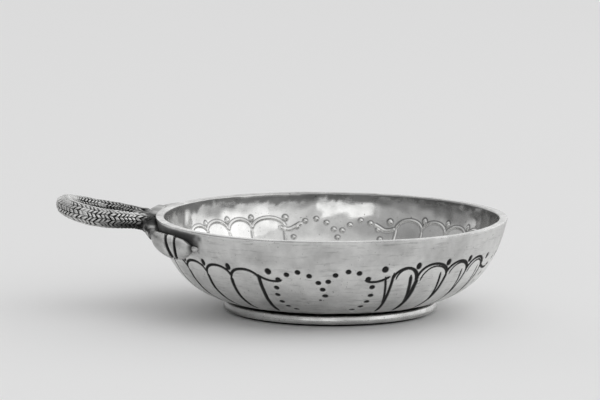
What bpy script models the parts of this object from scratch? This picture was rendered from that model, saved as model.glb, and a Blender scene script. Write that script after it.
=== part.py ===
"""Silver wine tasting cup: a shallow raised bowl on an applied foot ring. The handle is one rod
bent into a loop. Its two ends turn apart where they meet the bowl, run along the wall and finish
in ringed buds. Metres, +Z up, the handle points to -X, and the origin is the bottom centre of the
whole object's bounding box."""

import math

import bmesh
import bpy
from mathutils import Vector

# The bowl, measured from its own axis and from the table.
RIM_RADIUS = 0.0425
RIM_HEIGHT = 0.0231
RIM_WIDTH = 0.0020
RIM_CHAMFER = 0.0003
WALL_THICKNESS = 0.0011
RIM_TAPER = 0.0045
WALL_FOOT_RADIUS = 0.0250
WALL_FOOT_HEIGHT = 0.00295
WALL_LEAN_TOP = math.radians(11.5)
WALL_LEAN_FOOT = math.radians(77.9)
WALL_HANDLE_TOP = 0.0109
WALL_HANDLE_FOOT = 0.01075
BASE_RADIUS = 0.0195
BASE_HEIGHT = 0.0023
BOSS_RADIUS = 0.0140
BOSS_RISE = 0.0028
WALL_POINTS = 12
BOSS_POINTS = 5
BOWL_STEPS = 80

# The foot ring under the bowl.
FOOT_RADIUS = 0.0259
FOOT_HEIGHT = 0.0026
FOOT_FLAT_INNER = 0.0236
FOOT_FLAT_OUTER = 0.0251
FOOT_TOP_OUTER = 0.0254
FOOT_TOP_INNER_HEIGHT = 0.00232
FOOT_ARC_POINTS = 5
FOOT_STEPS = 72

# The rod of the handle. Each point is its reach from the bowl's axis towards -X, its Y, its
# height over the rim, and its radius. It starts at the lower end, in front, and ends at the
# upper end, behind.
SOLDER_GAP = 0.0003
ROD_POINTS = (
    (0.04245, -0.00855, -0.00410, 0.00125),
    (0.04298, -0.00700, -0.00370, 0.00136),
    (0.04375, -0.00560, -0.00295, 0.00152),
    (0.04500, -0.00475, -0.00205, 0.00172),
    (0.04680, -0.00505, -0.00142, 0.00190),
    (0.04920, -0.00650, -0.00100, 0.00202),
    (0.05220, -0.00800, -0.00060, 0.00218),
    (0.05610, -0.00830, -0.00010, 0.00230),
    (0.06020, -0.00740, 0.00072, 0.00230),
    (0.06360, -0.00420, 0.00158, 0.00222),
    (0.06480, 0.00000, 0.00204, 0.00214),
    (0.06320, 0.00420, 0.00152, 0.00200),
    (0.05960, 0.00680, 0.00056, 0.00190),
    (0.05600, 0.00760, -0.00012, 0.00186),
    (0.05220, 0.00750, -0.00064, 0.00186),
    (0.04920, 0.00610, -0.00098, 0.00184),
    (0.04700, 0.00480, -0.00128, 0.00180),
    (0.04540, 0.00450, -0.00160, 0.00172),
    (0.04435, 0.00560, -0.00160, 0.00160),
    (0.04375, 0.00710, -0.00120, 0.00148),
    (0.04318, 0.00875, -0.00080, 0.00134),
)
ROD_SIDES_SETTING = 4
ROD_STEPS_PER_POINT = 5

# The two buds that finish the rod, bent round the wall. A row of BUD_SHAPE is an angle from the
# handle's axis in degrees, half the bud's height there, and half its depth.
BUD_SHAPE = (
    (12.2, 0.00125, 0.00115),
    (16.0, 0.00166, 0.00136),
    (20.5, 0.00202, 0.00158),
    (25.5, 0.00240, 0.00178),
    (33.0, 0.00278, 0.00195),
    (36.8, 0.00262, 0.00188),
    (39.4, 0.00210, 0.00155),
    (41.0, 0.00140, 0.00105),
    (41.9, 0.00070, 0.00052),
    (42.2, 0.00030, 0.00022),
)
BUD_FRONT_DROPS = (0.00410, 0.00395)
BUD_BACK_DROPS = (0.00075, 0.00420)
BUD_GROOVES = (33.4, 37.6)
BUD_GROOVE_HALF_LENGTH = 0.65
BUD_GROOVE_DEPTH = 0.15
BUD_STATIONS = 44
BUD_SIDES = 20

# The bounding box reaches from the loop's end to the far side of the rim.
LOOP_REACH = max(point[0] + point[3] for point in ROD_POINTS)
BOWL_AXIS_X = (LOOP_REACH - RIM_RADIUS) / 2

SILVER = (0.82, 0.82, 0.81, 1.0)
WORN_SILVER = (0.74, 0.74, 0.73, 1.0)


def clear_scene():
    for old in list(bpy.data.objects):
        bpy.data.objects.remove(old, do_unlink=True)


def silver(name, colour, roughness):
    made = bpy.data.materials.new(name)
    made.use_nodes = True
    shader = made.node_tree.nodes["Principled BSDF"]
    shader.inputs["Base Color"].default_value = colour
    shader.inputs["Metallic"].default_value = 1.0
    shader.inputs["Roughness"].default_value = roughness
    return made


def add_object(name, data, material, axis):
    made = bpy.data.objects.new(name, data)
    data.materials.append(material)
    bpy.context.scene.collection.objects.link(made)
    made.parent = axis
    return made


def bezier(first, second, third, last, share):
    rest = 1 - share
    return first * rest**3 + second * 3 * rest**2 * share + third * 3 * rest * share**2 + last * share**3


def wall_point(share):
    """The outside of the wall as radius and height, from the rim (0) to the foot (1)."""
    top = Vector((RIM_RADIUS, RIM_HEIGHT))
    foot = Vector((WALL_FOOT_RADIUS, WALL_FOOT_HEIGHT))
    below_top = top - WALL_HANDLE_TOP * Vector((math.sin(WALL_LEAN_TOP), math.cos(WALL_LEAN_TOP)))
    above_foot = foot + WALL_HANDLE_FOOT * Vector((math.sin(WALL_LEAN_FOOT), math.cos(WALL_LEAN_FOOT)))
    return bezier(top, below_top, above_foot, foot, share)


def wall_normal(share):
    """The direction out of the wall, as radius and height."""
    step = 0.001
    along = wall_point(min(share + step, 1)) - wall_point(max(share - step, 0))
    return Vector((-along.y, along.x)).normalized()


def wall_share(drop):
    """Where on the wall's curve a point this far below the rim lies."""
    low, high = 0.0, 1.0
    for _ in range(40):
        middle = (low + high) / 2
        if RIM_HEIGHT - wall_point(middle).y < drop:
            low = middle
        else:
            high = middle
    return low


def wall_depth(share):
    """The wall's thickness, which grows to the width of the rim near the top."""
    drop = RIM_HEIGHT - wall_point(share).y
    fade = max(0.0, 1 - drop / RIM_TAPER) ** 2
    return WALL_THICKNESS + (RIM_WIDTH - WALL_THICKNESS) * fade


def boss_height(radius):
    """The rise of the bowl's floor at this radius, over the flat part of the base."""
    if radius >= BOSS_RADIUS:
        return 0.0
    return BOSS_RISE * (1 + math.cos(math.pi * radius / BOSS_RADIUS)) / 2


def lathe(name, profile, closed, steps, material, axis):
    """Turns a profile of (radius, height) points once round Z with a Screw."""
    mesh = bpy.data.meshes.new(name)
    points = [(radius, 0, height) for radius, height in profile]
    edges = [(i, i + 1) for i in range(len(points) - 1)]
    if closed:
        edges.append((len(points) - 1, 0))
    mesh.from_pydata(points, edges, [])
    made = add_object(name, mesh, material, axis)
    screw = made.modifiers.new("turn", "SCREW")
    screw.steps = steps
    screw.render_steps = steps
    screw.use_merge_vertices = True
    screw.merge_threshold = 0.00001
    screw.use_normal_calculate = True
    screw.use_smooth_shade = True
    return made


def bowl_profile():
    shares = [i / WALL_POINTS for i in range(WALL_POINTS + 1)]
    outer = [wall_point(share) for share in shares]
    inner = [wall_point(share) - wall_normal(share) * wall_depth(share) for share in shares]
    outside = [(point.x, point.y) for point in outer[1:]]
    inside = [(point.x, point.y) for point in inner[1:]]
    boss_radii = [BOSS_RADIUS * (1 - i / BOSS_POINTS) for i in range(BOSS_POINTS + 1)]
    base = [(BASE_RADIUS, BASE_HEIGHT)]
    base += [(radius, BASE_HEIGHT + boss_height(radius)) for radius in boss_radii]
    under = outside + base
    over = inside + [(radius, height + WALL_THICKNESS) for radius, height in base]
    rim_inner = RIM_RADIUS - RIM_WIDTH
    rim = [
        (rim_inner, RIM_HEIGHT - RIM_CHAMFER),
        (rim_inner + RIM_CHAMFER, RIM_HEIGHT),
        (RIM_RADIUS - RIM_CHAMFER, RIM_HEIGHT),
        (RIM_RADIUS, RIM_HEIGHT - RIM_CHAMFER),
    ]
    return list(reversed(over)) + rim + under


def foot_profile():
    """The ring's section: a flat to stand on, a bulging outside, and a top that follows the bowl."""
    middle = FOOT_HEIGHT / 2
    bulge = []
    for i in range(1, FOOT_ARC_POINTS):
        turn = math.pi * (i / FOOT_ARC_POINTS - 0.5)
        bulge.append((FOOT_TOP_OUTER + (FOOT_RADIUS - FOOT_TOP_OUTER) * math.cos(turn),
                      middle + middle * math.sin(turn)))
    return (
        [(FOOT_FLAT_INNER, 0), (FOOT_FLAT_OUTER, 0)]
        + bulge
        + [(FOOT_TOP_OUTER, FOOT_HEIGHT), (FOOT_FLAT_INNER, FOOT_TOP_INNER_HEIGHT)]
    )


def add_rod(name, material, axis):
    """The handle's rod as a bevelled curve that passes through ROD_POINTS."""
    curve = bpy.data.curves.new(name, "CURVE")
    curve.dimensions = "3D"
    curve.bevel_depth = 1.0
    curve.bevel_resolution = ROD_SIDES_SETTING
    curve.resolution_u = ROD_STEPS_PER_POINT
    curve.use_fill_caps = True
    curve.twist_mode = "Z_UP"
    spline = curve.splines.new("BEZIER")
    spline.bezier_points.add(len(ROD_POINTS) - 1)
    for knot, (reach, side, over_rim, radius) in zip(spline.bezier_points, ROD_POINTS):
        knot.co = (-reach, side, RIM_HEIGHT + over_rim)
        knot.radius = radius
        knot.handle_left_type = "AUTO"
        knot.handle_right_type = "AUTO"
    return add_object(name, curve, material, axis)


def bud_section(angle):
    """Half the bud's height and depth at this angle, on a smooth line through BUD_SHAPE."""
    last = len(BUD_SHAPE) - 1
    span = 0
    while span < last - 1 and angle > BUD_SHAPE[span + 1][0]:
        span += 1
    before, start, stop, after = [BUD_SHAPE[min(max(i, 0), last)] for i in range(span - 1, span + 3)]
    length = stop[0] - start[0]
    share = (angle - start[0]) / length
    halves = []
    for column in (1, 2):
        leave = (stop[column] - before[column]) / (stop[0] - before[0]) * length
        arrive = (after[column] - start[column]) / (after[0] - start[0]) * length
        rise = start[column] - stop[column]
        cubic = 2 * rise + leave + arrive
        square = -3 * rise - 2 * leave - arrive
        halves.append(((cubic * share + square) * share + leave) * share + start[column])
    groove = max(math.exp(-(((angle - place) / BUD_GROOVE_HALF_LENGTH) ** 2)) for place in BUD_GROOVES)
    return [half * (1 - BUD_GROOVE_DEPTH * groove) for half in halves]


def add_bud(name, side, drops, material, axis):
    """One bud, lofted along the wall as oval rings that lean with it."""
    loft = bmesh.new()
    rings = []
    start, stop = BUD_SHAPE[0][0], BUD_SHAPE[-1][0]
    for i in range(BUD_STATIONS + 1):
        share = i / BUD_STATIONS
        degrees = start + (stop - start) * share
        angle = math.radians(degrees)
        half_height, half_depth = bud_section(degrees)
        drop = drops[0] + (drops[1] - drops[0]) * share
        on_wall = wall_share(drop)
        out = wall_normal(on_wall)
        centre = wall_point(on_wall) + out * (SOLDER_GAP + half_depth)
        ring = []
        for j in range(BUD_SIDES):
            turn = 2 * math.pi * j / BUD_SIDES
            across = out * half_depth * math.cos(turn)
            upward = Vector((-out.y, out.x)) * half_height * math.sin(turn)
            spot = centre + across + upward
            ring.append(loft.verts.new((-spot.x * math.cos(angle), side * spot.x * math.sin(angle), spot.y)))
        rings.append(ring)
    for ring, following in zip(rings, rings[1:]):
        for j in range(BUD_SIDES):
            after = (j + 1) % BUD_SIDES
            loft.faces.new((ring[j], ring[after], following[after], following[j]))
    loft.faces.new(rings[0])
    loft.faces.new(rings[-1])
    bmesh.ops.recalc_face_normals(loft, faces=loft.faces)
    mesh = bpy.data.meshes.new(name)
    loft.to_mesh(mesh)
    loft.free()
    mesh.shade_smooth()
    return add_object(name, mesh, material, axis)


def build():
    clear_scene()
    axis = bpy.data.objects.new("bowl_axis", None)
    axis.location = (BOWL_AXIS_X, 0, 0)
    bpy.context.scene.collection.objects.link(axis)
    lathe("bowl", bowl_profile(), False, BOWL_STEPS, silver("bowl_silver", SILVER, 0.2), axis)
    lathe("foot_ring", foot_profile(), True, FOOT_STEPS, silver("foot_silver", SILVER, 0.25), axis)
    add_rod("serpent_loop", silver("loop_silver", WORN_SILVER, 0.32), axis)
    add_bud("front_bud", -1, BUD_FRONT_DROPS, silver("front_bud_silver", WORN_SILVER, 0.28), axis)
    add_bud("back_bud", 1, BUD_BACK_DROPS, silver("back_bud_silver", WORN_SILVER, 0.28), axis)


build()
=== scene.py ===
"""The look of a silver wine tasting cup. Shapes are worked out in millimetres about the bowl's axis."""

import math

import bmesh
import bpy
import numpy as np
from mathutils import Matrix, Vector


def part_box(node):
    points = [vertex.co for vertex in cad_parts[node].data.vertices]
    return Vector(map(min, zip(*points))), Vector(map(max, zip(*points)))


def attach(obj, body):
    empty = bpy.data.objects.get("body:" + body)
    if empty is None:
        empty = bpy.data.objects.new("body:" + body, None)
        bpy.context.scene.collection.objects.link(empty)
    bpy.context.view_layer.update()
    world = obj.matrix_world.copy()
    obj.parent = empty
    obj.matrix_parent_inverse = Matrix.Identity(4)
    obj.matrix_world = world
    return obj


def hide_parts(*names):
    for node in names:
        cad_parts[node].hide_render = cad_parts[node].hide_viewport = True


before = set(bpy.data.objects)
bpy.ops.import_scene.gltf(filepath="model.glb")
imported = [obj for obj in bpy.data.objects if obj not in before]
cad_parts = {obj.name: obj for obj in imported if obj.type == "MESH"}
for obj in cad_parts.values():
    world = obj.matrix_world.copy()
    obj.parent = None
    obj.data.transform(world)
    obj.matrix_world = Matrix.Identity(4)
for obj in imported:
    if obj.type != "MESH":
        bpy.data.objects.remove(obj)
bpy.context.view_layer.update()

MM = 0.001
BOWL_LOW, BOWL_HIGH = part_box("bowl")
AXIS_X = (BOWL_LOW.x + BOWL_HIGH.x) / 2 / MM
# Angles are degrees from the front of the bowl and grow to the right. The handle points to the left.
HANDLE_ANGLE = -90.0
# Guards against dividing by nothing.
TINY = 1e-6
TINY_SQUARE = 1e-9

# The bowl's wall, as in the CAD model.
RIM_RADIUS = 42.5
RIM_HEIGHT = 23.1
RIM_WIDTH = 2.0
RIM_ROUND = 0.35
RIM_TAPER = 12.0
RIM_TAPER_POWER = 1.3
WALL_THICKNESS = 1.1
WALL_FOOT = (25.0, 2.95)
WALL_LEANS = (math.radians(11.5), math.radians(77.9))
WALL_HANDLES = (10.9, 10.75)
BASE = (19.5, 2.3)
BASE_JOINT = (22.4, 2.53)
BOSS_RADIUS = 14.0
BOSS_RISE = 2.8
# The base counts as this much farther from the rim than the wall's foot.
PAST_WALL = 5.0

# Steps along the curves of the bowl's section.
WALL_STEPS = 400
BASE_STEPS = 60
JOINT_STEPS = 8
RIM_EDGE_STEPS = 7
RIM_TOP_STEPS = 6

# The bowl's grid is halved twice, near the ornament. Its seam is then welded, in metres.
COLUMNS = 480
ROW_STEP = 0.5
RIM_ROW_STEP = 0.12
PLAIN_ROW_STEP = 0.9
RIM_MARGIN = 0.02
HALVING_REACHES = (1.3, 0.9)
WELD_DISTANCE = 1e-6

# Patterns of smooth noise: seed, number of waves, longest, shortest.
BOWL_DENTS = (3, 80, 10.0, 3.0)
BOWL_PATCHES = (21, 50, 14.0, 1.5)
ROW_WANDER = (13, 30, 9.0, 3.0)
SCALE_WANDER = (17, 50, 5.0, 1.8)
ROD_PATCHES = (5, 40, 6.0, 1.6)
BUD_DENTS = (11, 40, 5.0, 1.5)

# The unevenness of a hammered bowl: dents, which fade out towards its middle and its rim, and waves of the
# rim as size, number in a turn and phase. The rim also rises at the back and dips in front.
BOWL_DENT_SIZE = 0.032
DENT_FADE_RADIUS = 8.0
DENT_FADE_DROP = (-0.2, 2.0)
WAVES_OUT = ((0.16, 1, 0.0), (-0.14, 2, math.pi / 2), (0.06, 3, 2.1), (0.03, 7, 0.0))
WAVES_UP = ((0.05, 2, 1.3), (0.04, 5, 0.0))
WAVE_FOOT = 2.0
BACK_RISE = 0.3
BACK_RISE_TURN = 3.93
BACK_RISE_SPREAD = (0.6, 1.0)
FRONT_DIP = 0.48
FRONT_DIP_SPREAD = (-0.1, 1.0)

# The ornament is placed by angle from the front and length from the rim. At the back it lies higher.
ORNAMENT_SEED = 7
MM_PER_DEGREE = 0.66
BACK_LIFT = 0.75
LINE_DEPTH = 0.3
LINE_HALF_WIDTH = 0.44
LINE_STEPS = 6
DOT_DEPTH = 0.42
DOT_RADIUS = 0.77
DOT_SPACING = 2.72
DOT_ASTRAY = (0.2, 0.1)

# Inside the bowl the ornament stands proud, narrower and a little lower.
INSIDE_WIDTH = 0.88
INSIDE_HEIGHT = 0.95
INSIDE_DOT = 0.78

# A boundary between tongues: angle, width and how much lower than usual it starts.
RIGHT_FRONT = (
    (25.2, 1.15, 0.0), (34.6, 1.75, 1.0), (47.0, 1.2, 0.0), (57.5, 1.05, 0.3), (67.4, 0.9, 0.2),
)
RIGHT_BACK = tuple((angle, 1.0, 0.0) for angle in (112.6, 124.3, 135.7, 146.9, 158.0))
LEFT_BACK = tuple((angle, 1.0, 0.0) for angle in (201.4, 214.9, 225.3, 236.2, 247.4))
LEFT_FRONT = (
    (-67.2, 1.2, 0.0), (-55.8, 1.5, 0.0), (-44.4, 1.5, 0.0), (-33.0, 1.5, 0.0), (-21.6, 1.5, 0.0),
)
# A group: its boundaries, whether they are forked, and its shift down the wall.
TONGUE_GROUPS = (
    (RIGHT_FRONT, True, -0.2),
    (RIGHT_BACK, False, 0.0),
    (LEFT_BACK, False, 0.0),
    (LEFT_FRONT, False, 0.65),
)
TONGUE_BENDS = (13.5, 18.0)
TONGUE_END = 25.0
TONGUE_SWAY = 0.35
TONGUE_LOW_SWAY = 1.4
OUTERMOST_RISE = 1.4
# A tongue's rounded top, and the second stroke in a forked group: its shifts at start, at stop and down.
ARCH_FOOT = 10.2
ARCH_TOP = 7.4
ARCH_STEPS = 15
ARCH_WIDTH = 1.15
ARCH_ASTRAY = 0.15
INNER_ARCH = (1.4, -0.4, 0.45)
INNER_ARCH_WIDTH = 0.7
INNER_ARCH_DEPTH = 0.6
INNER_ARCH_ASTRAY = 0.1
# A fork's points: degrees from its boundary, length from the rim, whether it sways with it.
FORK = ((-2.9, ARCH_FOOT - 0.6, 0), (-2.0, 13.2, 0), (-0.9, 16.9, 1), (0.0, 20.5, 1))
FORK_WEIGHT = 0.8
# The bead over a boundary: degrees from it, length from the rim, size, stretch.
TONGUE_BEAD = (-0.4, 7.35, 1.1, 1.3)

# One side of a dotted heart, from its notch to its lower end. Its left side lies a little lower.
HEART_SIDE = (
    (0.0, 13.4), (1.9, 10.7), (4.6, 9.1), (8.0, 8.1), (12.0, 8.5), (15.2, 10.0), (16.9, 12.6),
    (17.4, 15.6), (16.6, 18.6), (14.2, 21.3), (11.0, 23.2), (9.0, 24.1),
)
HEART_STEPS = 12
HEART_SLIP = 0.35
# The dots under its notch: degrees from its middle, length from the rim, size.
NOTCH_DOTS = ((0.4, 15.7, 1.05), (-1.2, 17.2, 0.5))
SWAG_FRONT = ((14.4, 10.6), (16.0, 11.1), (18.4, 11.1), (20.8, 10.6), (22.8, 9.8))
SWAG_BACK = ((13.6, 9.2), (15.8, 10.0), (18.2, 10.8), (20.6, 10.7), (22.4, 10.1))
SWAG_DEPTH = 0.9
HEART_BEAD_SIZE = 1.2
HEART_BEAD_STRETCH = 1.1
# A heart: its middle, shift down the wall, swags, their width, and the bead beyond each swag.
HEARTS = (
    (1.0, -0.2, SWAG_FRONT, 1.1, ((-18.5, 8.5), (20.6, 7.9))),
    (90.0, 0.0, SWAG_FRONT, 1.1, ((-20.0, 7.9), (20.0, 7.9))),
    (180.9, 0.0, SWAG_BACK, 1.35, ((-20.0, 8.5), (20.0, 7.9))),
)

# How far from a mark it has an effect, in degrees and in length, and what counts as far from all.
LINE_NEAR = 6.0
DOT_NEAR = 5.0
NEAR_LENGTH = 3.0
FAR = 99.0
# A line's ends: share of its length, and the width and depth they start from.
LINE_END = 0.07
LINE_END_WIDTH = 0.55
LINE_END_DEPTH = 0.35
DOT_ROUNDING = 0.8
DOT_CORE = 0.5
# Where in a cut its darkness grows, by the share of the way to its middle.
LINE_DARK = (0.08, 0.42)
DOT_DARK = (0.05, 0.4)
# Painted shade beside a mark, heavier above it: place in half widths, spread, share that lies below.
MARK_SHADE_PLACE = 1.2
MARK_SHADE_ABOVE = (-0.2, 0.6)
LINE_SHADE_SPREAD = 0.3
LINE_SHADE_BELOW = 0.3
DOT_SHADE_SPREAD = 0.25
DOT_SHADE_BELOW = 0.4

# Oxide and painted shade on the bowl's outside, 0 to 1: painted shade in the seam over the foot, a dull
# band under the rim, and painted shade under the rim beside the handle. A pair is where it starts and where
# it is full.
FACING = (0.3, 0.8)
SEAM_RISE = (0.9, 0.4)
SEAM_LEAST = 0.45
SEAM_PATCHES = 0.2
DULL = 0.14
DULL_PATCHES = 0.04
DULL_END = (8.5, 5.5)
# Painted shade under the rim beside the handle, where the buds meet the wall.
HANDLE_SHADE = 0.88
HANDLE_SHADE_START = (0.5, 0.9)
HANDLE_SHADE_END = (6.2, 4.6)
HANDLE_SHADE_END_PATCHES = 0.5
HANDLE_SHADE_ANGLES = (48.5, 43.5)
HANDLE_SHADE_ANGLE_PATCHES = 1.2

# Painted shade in a dark band under the rim inside, and the places where it is wider or starts lower:
# angle, amount.
BAND = 0.7
BAND_WIDTH = 1.7
BAND_PATCHES = 0.7
BAND_START = (0.35, 0.8)
BAND_START_PATCHES = 0.15
BAND_END = (0.6, -0.3)
BAND_AT_HANDLE = 0.7
BAND_HANDLE_ANGLES = (48.0, 28.0)
BAND_WIDER = ((208.0, 1.3), (176.0, 0.7))
BAND_WIDER_ANGLES = (13.0, 4.0)
BAND_LOWER = (206.0, 0.45)
BAND_LOWER_ANGLES = (16.0, 6.0)
# Painted shade beside the raised marks, clear of their own dark.
MARK_SHADE = 0.85
MARK_SHADE_CLEAR = (0.2, 0.6)
# The rim's worn and burnished top, by the drop below it.
RIM_TOP = (0.6, 0.15)
RIM_WORN = 0.3
RIM_WORN_PATCHES = 0.08
RIM_BURNISHED = 0.6

# The foot wire's section, from its inner top round to its outer top: radius, height.
FOOT_SECTION = (
    (23.6, 2.5), (23.5, 1.3), (23.6, 0.12), (23.75, 0.0), (24.2, 0.0), (24.5, 0.0), (24.7, 0.12),
    (24.95, 0.42), (25.4, 0.5), (25.8, 0.62), (25.93, 0.85), (25.96, 1.15), (25.95, 1.4),
    (25.88, 1.7), (25.79, 2.0), (25.68, 2.3), (25.48, 2.48), (25.15, 2.56), (24.9, 2.62),
    (24.7, 2.74), (24.5, 2.95),
)
FOOT_SECTION_STEPS = 5
FOOT_STEPS = 540
FOOT_WAVES_OUT = ((0.03, 3, 1.0),)
# Its painted shade: in the seam on top, under its edge, and on its left side.
FOOT_SEAM_HEIGHTS = (2.46, 2.6)
FOOT_SEAM_LEAST = 0.4
FOOT_EDGE_HEIGHTS = (0.58, 0.44)
FOOT_EDGE_FACING = (0.1, 0.7)
FOOT_LEFT = 0.6
FOOT_LEFT_FACING = (-0.4, -0.95)

# The handle's rod: reach from the bowl's axis, Y, height over the rim, radius.
ROD_POINTS = (
    (42.45, -8.55, -4.1, 1.25), (42.98, -7.0, -3.7, 1.36), (43.75, -5.6, -2.95, 1.52),
    (45.0, -4.75, -2.05, 1.72), (46.8, -5.05, -1.42, 1.9), (49.2, -6.5, -1.0, 2.02),
    (52.2, -8.0, -0.6, 2.18), (56.1, -8.3, -0.1, 2.3), (60.2, -7.4, 0.72, 2.3),
    (63.6, -4.2, 1.58, 2.22), (64.8, 0.0, 2.04, 2.14), (63.2, 4.2, 1.52, 2.0),
    (59.6, 6.8, 0.56, 1.9), (56.0, 7.6, -0.12, 1.86), (52.2, 7.5, -0.64, 1.86),
    (49.2, 6.1, -0.98, 1.84), (47.0, 4.8, -1.28, 1.8), (45.4, 4.5, -1.6, 1.72),
    (44.35, 5.6, -1.6, 1.6), (43.75, 7.1, -1.2, 1.48), (43.18, 8.75, -0.8, 1.34),
)
ROD_KNOT_STEPS = 24
ROD_STATIONS = 820
ROD_SIDES = 144
ROD_RUN_IN = 1.0
ROD_DENT_SIZE = 0.03
# The solder in the rod's bends: depth in the wall, side of the rod, reach from the bowl's axis.
SOLDER_SINK = 0.15
SOLDER_FACING = (0.0, 0.7)
SOLDER_REACH = (47.6, 46.0)

# The rod's scales. They fade out near its ends and are worn on top of the loop's far end.
SCALE_ROWS = 14
SCALE_ROW_WANDER = 0.18
SCALE_PITCH = 0.98
SCALE_DEPTH = 0.36
SCALE_LEVEL = 0.85
SCALE_SLANT = 0.85
SCALE_ASTRAY = 0.16
SCALE_CUT = (0.15, 0.85)
SCALE_EDGE = (0.0, 0.2)
SCALE_EDGE_HEIGHT = 0.35
SCALE_FADE = (3.0, 8.0)
SCALE_WORN = 0.7
SCALE_WORN_REACH = (60.5, 64.5)
SCALE_PATCHES = (0.85, 0.3)
SCALE_KEPT = (0.4, 1.1)
# What counts as the rod's upper side, by the sine of the turn round it.
UPPER_SIDE = (0.1, 0.8)

# Oxide on the rod between the scales, and a little darker at the loop's end. Painted shade on its inner
# side, low on the far inner side, and near the bowl, farther out on the underside.
FAR_SIDE = (0.0, 4.0)
CUT_DARK = (0.35, 0.9)
CUT_DARK_FAR = 0.25
CUT_DARK_GAIN = 1.15
LOOP_END = 0.16
LOOP_END_REACH = (59.0, 63.0)
INNER_SIDE = 0.3
INNER_SIDE_FAR = 0.2
INNER_SIDE_FACING = (0.1, 0.8)
INNER_SIDE_REACH = (62.0, 58.0)
HIDDEN = 0.85
HIDDEN_FACING = (0.7, 0.9)
HIDDEN_SIDE = (0.45, 0.22)
HIDDEN_FAR = (2.0, 4.0)
HIDDEN_REACH = (63.0, 60.0)
UNDERSIDE = 0.9
UNDERSIDE_SIDE = (0.25, -0.45)
UNDERSIDE_REACH = (57.0, 49.5)
UNDERSIDE_PATCHES = 0.8
ROOT = 0.95
ROOT_REACH = (48.6, 46.2)
ROOT_SHORTER_ABOVE = (1.2, 0.8)
ROOT_PATCHES = (0.9, 0.25)
ROOT_LESS_ABOVE = 0.4
END_LEAST = 0.78
END_LENGTH = (1.5, 5.0)

# A bud: angle from the handle's axis, half height, half depth. Its last rows are the bead beyond the tip.
BUD_SHAPE = (
    (12.2, 1.25, 1.15), (16.0, 1.66, 1.36), (20.5, 2.12, 1.58), (25.5, 2.54, 1.78), (33.0, 2.95, 1.95),
    (36.8, 2.8, 1.88), (39.4, 2.4, 1.6), (41.0, 1.7, 1.22), (41.9, 1.1, 0.8), (42.4, 0.52, 0.42),
    (43.2, 0.66, 0.52), (44.2, 0.62, 0.48), (44.8, 0.36, 0.3), (45.0, 0.1, 0.08),
)
BUD_SHAPE_STEPS = 30
BUD_STATIONS = 260
BUD_SIDES = 72
# From this share of the length on, the stations draw closer together.
BUD_CLOSER = 0.9
BUD_SINK = 0.05
BUD_DENT_SIZE = 0.012
# How far below the rim each bud starts and ends.
BUD_FRONT_DROPS = (4.15, 4.4)
BUD_BACK_DROPS = (0.75, 4.2)
# A groove is its angle, half its length along the bud, its lean and its bow.
BUD_GROOVES = ((33.2, 1.15, 1.2, 2.9), (36.9, 0.65, -0.3, 1.9))
BUD_GROOVE_DEPTH = 0.2
BUD_GROOVE_SQUARENESS = 4
BUD_GROOVE_DARK = (0.25, 0.8)
BUD_BOW_MIDDLE = 0.3
BUD_FACING = (-0.9, -0.2)
# Painted shade in the pinch before the bead, as angle and half length, and tarnish towards the rod, with
# painted shade added at the bud's neck.
BUD_PINCH = (42.4, 0.45)
BUD_PINCH_DARK = 0.9
BUD_TARNISH_AND_SHADE = ((0.26, (34.0, 30.0)), (0.3, (18.0, 14.0)))

# Each silver: colour, the colour of its oxide and painted shade, roughness, strength of its scratches.
BOWL_SILVER = ((0.83, 0.83, 0.82), (0.04, 0.04, 0.04), 0.34, 0.12)
FOOT_SILVER = ((0.71, 0.71, 0.7), (0.03, 0.03, 0.03), 0.22, 0.04)
ROD_SILVER = ((0.8, 0.8, 0.79), (0.02, 0.02, 0.02), 0.19, 0.15)
BUD_SILVER = ((0.74, 0.74, 0.73), (0.02, 0.02, 0.02), 0.38, 0.2)
METALLIC = 0.93
# Noise: scale, detail, roughness. Ramps over it: two ends, each from and to.
CLOUD_NOISE = (110.0, 6.0, 0.62)
CLOUD_RAMP = ((0.4, 0.0), (0.68, 1.0))
CLOUD_SHADE = 0.7
POLISHED_SHADE = 0.955
SPECK_NOISE = (1500.0, 2.0, 0.5)
SPECK_RAMP = ((0.68, 0.0), (0.76, 0.55))
SCUFF_NOISE = (170.0, 5.0, 0.7)
SCUFF_RAMP = ((0.54, 0.0), (0.74, 0.4))
SCUFF_STRETCH = (1.0, 1.0, 9.0)
SCUFF_POLISHED = -0.22
WEAR_NOISE = (420.0, 4.0, 0.5)
WEAR_ENDS = ((0.3, -0.05), (0.7, 0.07))
WEAR_POLISHED = -0.72
WEAR_OXIDE = 0.3
SCRATCH_NOISE = (900.0, 6.0, 0.5)
SCRATCH_STRETCH = (1.0, 1.0, 7.0)
SCRATCH_DEPTH = 0.00004

# The floor, in metres.
FLOOR_HALF_SIZE = 4
PAPER = (0.875, 0.875, 0.875, 1.0)
PAPER_ROUGHNESS = 0.9

# The studio's brightness by direction: each ramp is an axis and its two ends, from and to.
SKY_UPPER = (("Z", (0.08, 0.0), (0.3, 0.9)), ("X", (-0.6, 0.4), (0.8, 0.96)))
SKY_TOP = ("Z", (0.6, 0.0), (0.95, 0.3))
SKY_BEHIND = (("Y", (0.1, 0.12), (0.7, 0.8)), ("Z", (0.3, 1.0), (0.65, 0.2)))
# A lamp: degrees to the right of the front and up, size in metres, watts, roll in degrees.
LAMP_DISTANCE = 0.9
LAMPS = (
    ("right_softbox", (91.0, 24.0), (1.4, 0.58), 0.95, -9.0),
    ("front_softbox", (-8.5, 18.7), (0.6, 0.186), 0.23, 3.0),
)

# The camera of the photograph. Its aim is measured to the right and upward from a point of the bowl's axis.
CAMERA_DISTANCE = 800.0
CAMERA_ELEVATION = math.radians(8.68)
CAMERA_AZIMUTH = math.radians(3.5)
CAMERA_ROLL = math.radians(0.236)
CAMERA_AIM = (-7.52, 14.73)
CAMERA_LENS = 197.7
SENSOR_WIDTH = 36.0
CLIP_START = 0.01
AIM_HEIGHT = 11.85


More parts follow.
